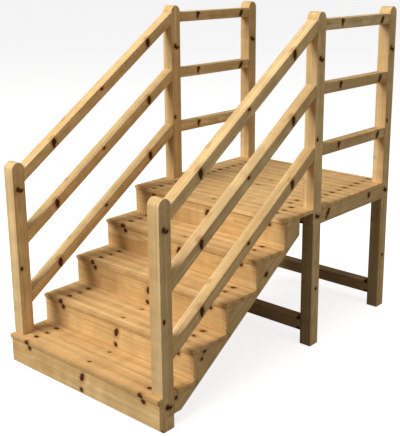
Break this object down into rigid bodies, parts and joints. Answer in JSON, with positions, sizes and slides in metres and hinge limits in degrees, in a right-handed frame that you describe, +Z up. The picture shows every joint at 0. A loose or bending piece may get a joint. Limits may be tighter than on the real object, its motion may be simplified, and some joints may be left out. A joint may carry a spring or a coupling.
{
  "type": "wooden deck stairs",
  "caption": "Knotty pine deck stairs: a straight flight with closed risers up to a small landing on legs, with rails on both open sides.",
  "frame": {"origin": "at ground level, under the middle of the stairs' footprint", "axes": "+Z up; +Y is the way a person walks up the flight, towards the landing; +X is the walker's right"},
  "size_m": [1.06, 1.9108, 1.7638],
  "materials": {
    "pine_boards": "oiled knotty pine, satin",
    "pine_risers": "oiled knotty pine, satin",
    "pine_stringers": "oiled knotty pine, satin",
    "pine_posts": "oiled knotty pine, satin",
    "pine_legs": "oiled knotty pine, satin",
    "pine_rails": "oiled knotty pine, satin",
    "pine_beams": "oiled knotty pine, satin"
  },
  "bodies": {
    "root": {"tread_1": "pine_boards", "tread_2": "pine_boards", "tread_3": "pine_boards", "tread_4": "pine_boards", "deck_boards": "pine_boards", "riser_1": "pine_risers", "riser_2": "pine_risers", "riser_3": "pine_risers", "riser_4": "pine_risers", "riser_5": "pine_risers", "stringer_left": "pine_stringers", "stringer_right": "pine_stringers", "post_front_left": "pine_posts", "post_front_right": "pine_posts", "post_middle_left": "pine_posts", "post_middle_right": "pine_posts", "post_back_left": "pine_posts", "post_back_right": "pine_posts", "leg_front_left": "pine_legs", "leg_front_right": "pine_legs", "leg_middle_left": "pine_legs", "leg_middle_right": "pine_legs", "leg_back_left": "pine_legs", "leg_back_right": "pine_legs", "stair_rail_top_left": "pine_rails", "stair_rail_middle_left": "pine_rails", "stair_rail_bottom_left": "pine_rails", "stair_rail_top_right": "pine_rails", "stair_rail_middle_right": "pine_rails", "stair_rail_bottom_right": "pine_rails", "landing_rail_top_left": "pine_rails", "landing_rail_middle_left": "pine_rails", "landing_rail_bottom_left": "pine_rails", "landing_rail_top_right": "pine_rails", "landing_rail_middle_right": "pine_rails", "landing_rail_bottom_right": "pine_rails", "deck_beam_front": "pine_beams", "deck_beam_back": "pine_beams", "deck_beam_left": "pine_beams", "deck_beam_right": "pine_beams", "leg_brace_front": "pine_beams", "leg_brace_back": "pine_beams"}
  },
  "joints": []
}
